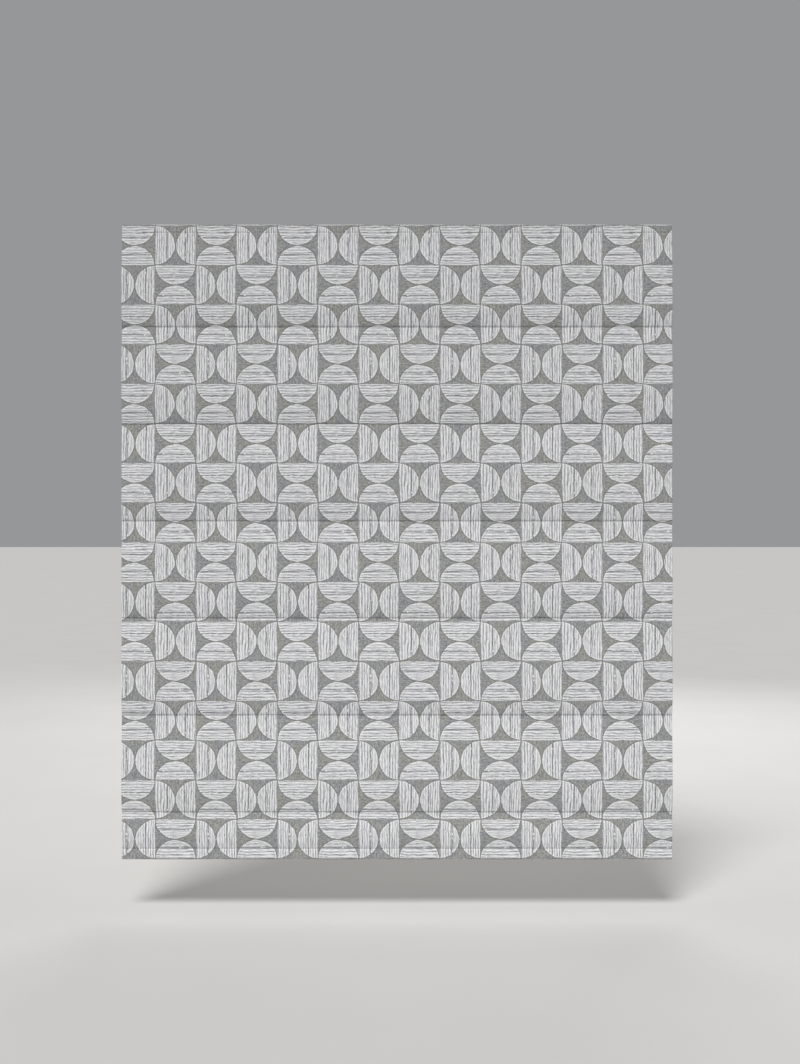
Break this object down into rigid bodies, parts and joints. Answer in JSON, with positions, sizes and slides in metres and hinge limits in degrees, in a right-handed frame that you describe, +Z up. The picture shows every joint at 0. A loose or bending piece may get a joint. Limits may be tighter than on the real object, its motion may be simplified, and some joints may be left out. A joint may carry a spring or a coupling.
{
  "type": "roman blind",
  "caption": "Lined Roman blind with a cordless spring lift in its headrail; the printed cloth folds up in even bands on rods sewn to its back.",
  "frame": {"origin": "centre of the middle bracket's top face, where the blind is screwed to the head of the window recess", "axes": "+Z up, +X to the right as seen from the room, the printed face of the cloth looks along -Y into the room"},
  "size_m": [1.1, 0.0492, 1.271],
  "materials": {
    "printed_cloth": "printed cotton, grey ground with a light grey hatched half-circle print",
    "lining": "ivory sateen lining",
    "tape": "white woven hook tape",
    "cord": "white braided polyester lift cord",
    "rail_paint": "white powder coat on extruded aluminium",
    "steel": "zinc plated steel",
    "aluminium": "mill finish aluminium",
    "white_plastic": "moulded white acetal",
    "grey_plastic": "moulded grey nylon",
    "glass_fibre": "pultruded glass fibre, pale green white"
  },
  "bodies": {
    "root": {"headrail": "rail_paint", "end_cap_left": "white_plastic", "end_cap_right": "white_plastic", "motor_case": "grey_plastic", "hook_tape": "tape", "header_cloth": "printed_cloth", "bracket_left": "steel", "cradle_left": "white_plastic", "lift_cord_left": "cord", "bracket_middle": "steel", "cradle_middle": "white_plastic", "lift_cord_middle": "cord", "bracket_right": "steel", "cradle_right": "white_plastic", "lift_cord_right": "cord"},
    "shaft": {"drive_shaft": "steel", "spool_left": "grey_plastic", "spool_middle": "grey_plastic", "spool_right": "grey_plastic", "motor_output_drum": "steel"},
    "storage_drum": {"motor_storage_drum": "steel"},
    "upper_leaf_1": {"face_upper_1": "printed_cloth", "lining_upper_1": "lining"},
    "lower_leaf_1": {"face_lower_1": "printed_cloth", "lining_lower_1": "lining"},
    "rod_line_1": {"rod_1": "glass_fibre", "rod_pocket_1": "lining"},
    "upper_leaf_2": {"face_upper_2": "printed_cloth", "lining_upper_2": "lining"},
    "lower_leaf_2": {"face_lower_2": "printed_cloth", "lining_lower_2": "lining"},
    "rod_line_2": {"rod_2": "glass_fibre", "rod_pocket_2": "lining"},
    "upper_leaf_3": {"face_upper_3": "printed_cloth", "lining_upper_3": "lining"},
    "lower_leaf_3": {"face_lower_3": "printed_cloth", "lining_lower_3": "lining"},
    "rod_line_3": {"rod_3": "glass_fibre", "rod_pocket_3": "lining"},
    "upper_leaf_4": {"face_upper_4": "printed_cloth", "lining_upper_4": "lining"},
    "lower_leaf_4": {"face_lower_4": "printed_cloth", "lining_lower_4": "lining"},
    "rod_line_4": {"rod_4": "glass_fibre", "rod_pocket_4": "lining"},
    "upper_leaf_5": {"face_upper_5": "printed_cloth", "lining_upper_5": "lining"},
    "lower_leaf_5": {"face_lower_5": "printed_cloth", "lining_lower_5": "lining"},
    "rod_line_5": {"rod_5": "glass_fibre", "rod_pocket_5": "lining"},
    "upper_leaf_6": {"face_upper_6": "printed_cloth", "lining_upper_6": "lining"},
    "lower_leaf_6": {"face_lower_6": "printed_cloth", "lining_lower_6": "lining"},
    "rod_line_6": {"rod_6": "glass_fibre", "rod_pocket_6": "lining", "face_flap": "printed_cloth", "lining_flap": "lining", "bottom_bar": "aluminium"}
  },
  "joints": [
    {"name": "fold_1_top", "type": "hinge", "parent": "root", "child": "upper_leaf_1", "pos_m": [0, -0.0241, -0.033], "axis": [-1, 0, 0], "range_deg": [0, 82], "deforming": ["lift_cord_left", "lift_cord_middle", "lift_cord_right"]},
    {"name": "fold_1_crease", "type": "hinge", "parent": "upper_leaf_1", "child": "lower_leaf_1", "pos_m": [0, -0.02633, -0.1195], "axis": [1, 0, 0], "range_deg": [0, 164]},
    {"name": "fold_1_rod", "type": "hinge", "parent": "lower_leaf_1", "child": "rod_line_1", "pos_m": [0, -0.0241, -0.206], "axis": [-1, 0, 0], "range_deg": [0, 82]},
    {"name": "fold_2_top", "type": "hinge", "parent": "rod_line_1", "child": "upper_leaf_2", "pos_m": [0, -0.0241, -0.206], "axis": [-1, 0, 0], "range_deg": [0, 82]},
    {"name": "fold_2_crease", "type": "hinge", "parent": "upper_leaf_2", "child": "lower_leaf_2", "pos_m": [0, -0.02688, -0.303], "axis": [1, 0, 0], "range_deg": [0, 164]},
    {"name": "fold_2_rod", "type": "hinge", "parent": "lower_leaf_2", "child": "rod_line_2", "pos_m": [0, -0.0241, -0.4], "axis": [-1, 0, 0], "range_deg": [0, 82]},
    {"name": "fold_3_top", "type": "hinge", "parent": "rod_line_2", "child": "upper_leaf_3", "pos_m": [0, -0.0241, -0.4], "axis": [-1, 0, 0], "range_deg": [0, 82]},
    {"name": "fold_3_crease", "type": "hinge", "parent": "upper_leaf_3", "child": "lower_leaf_3", "pos_m": [0, -0.02688, -0.497], "axis": [1, 0, 0], "range_deg": [0, 164]},
    {"name": "fold_3_rod", "type": "hinge", "parent": "lower_leaf_3", "child": "rod_line_3", "pos_m": [0, -0.0241, -0.594], "axis": [-1, 0, 0], "range_deg": [0, 82]},
    {"name": "fold_4_top", "type": "hinge", "parent": "rod_line_3", "child": "upper_leaf_4", "pos_m": [0, -0.0241, -0.594], "axis": [-1, 0, 0], "range_deg": [0, 82]},
    {"name": "fold_4_crease", "type": "hinge", "parent": "upper_leaf_4", "child": "lower_leaf_4", "pos_m": [0, -0.02688, -0.691], "axis": [1, 0, 0], "range_deg": [0, 164]},
    {"name": "fold_4_rod", "type": "hinge", "parent": "lower_leaf_4", "child": "rod_line_4", "pos_m": [0, -0.0241, -0.788], "axis": [-1, 0, 0], "range_deg": [0, 82]},
    {"name": "fold_5_top", "type": "hinge", "parent": "rod_line_4", "child": "upper_leaf_5", "pos_m": [0, -0.0241, -0.788], "axis": [-1, 0, 0], "range_deg": [0, 82]},
    {"name": "fold_5_crease", "type": "hinge", "parent": "upper_leaf_5", "child": "lower_leaf_5", "pos_m": [0, -0.02688, -0.885], "axis": [1, 0, 0], "range_deg": [0, 164]},
    {"name": "fold_5_rod", "type": "hinge", "parent": "lower_leaf_5", "child": "rod_line_5", "pos_m": [0, -0.0241, -0.982], "axis": [-1, 0, 0], "range_deg": [0, 82]},
    {"name": "fold_6_top", "type": "hinge", "parent": "rod_line_5", "child": "upper_leaf_6", "pos_m": [0, -0.0241, -0.982], "axis": [-1, 0, 0], "range_deg": [0, 82]},
    {"name": "fold_6_crease", "type": "hinge", "parent": "upper_leaf_6", "child": "lower_leaf_6", "pos_m": [0, -0.02688, -1.079], "axis": [1, 0, 0], "range_deg": [0, 164]},
    {"name": "fold_6_rod", "type": "hinge", "parent": "lower_leaf_6", "child": "rod_line_6", "pos_m": [0, -0.0241, -1.176], "axis": [-1, 0, 0], "range_deg": [0, 82]},
    {"name": "shaft_turn", "type": "hinge", "parent": "root", "child": "shaft", "pos_m": [0, -0.0049, -0.018], "axis": [-1, 0, 0], "range_deg": [0, 7580]},
    {"name": "storage_drum_turn", "type": "hinge", "parent": "root", "child": "storage_drum", "pos_m": [0.18, 0.0095, -0.018], "axis": [-1, 0, 0], "range_deg": [-9840, 0]}
  ],
  "couplings": [
    {"joint": "fold_1_crease", "follows": "fold_1_top", "ratio": 2},
    {"joint": "fold_1_rod", "follows": "fold_1_top", "ratio": 1},
    {"joint": "fold_2_top", "follows": "fold_1_top", "ratio": 1},
    {"joint": "fold_2_crease", "follows": "fold_1_top", "ratio": 2},
    {"joint": "fold_2_rod", "follows": "fold_1_top", "ratio": 1},
    {"joint": "fold_3_top", "follows": "fold_1_top", "ratio": 1},
    {"joint": "fold_3_crease", "follows": "fold_1_top", "ratio": 2},
    {"joint": "fold_3_rod", "follows": "fold_1_top", "ratio": 1},
    {"joint": "fold_4_top", "follows": "fold_1_top", "ratio": 1},
    {"joint": "fold_4_crease", "follows": "fold_1_top", "ratio": 2},
    {"joint": "fold_4_rod", "follows": "fold_1_top", "ratio": 1},
    {"joint": "fold_5_top", "follows": "fold_1_top", "ratio": 1},
    {"joint": "fold_5_crease", "follows": "fold_1_top", "ratio": 2},
    {"joint": "fold_5_rod", "follows": "fold_1_top", "ratio": 1},
    {"joint": "fold_6_top", "follows": "fold_1_top", "ratio": 1},
    {"joint": "fold_6_crease", "follows": "fold_1_top", "ratio": 2},
    {"joint": "fold_6_rod", "follows": "fold_1_top", "ratio": 1},
    {"joint": "shaft_turn", "follows": "fold_1_top", "ratio": 92.2},
    {"joint": "storage_drum_turn", "follows": "fold_1_top", "ratio": -119.86}
  ]
}
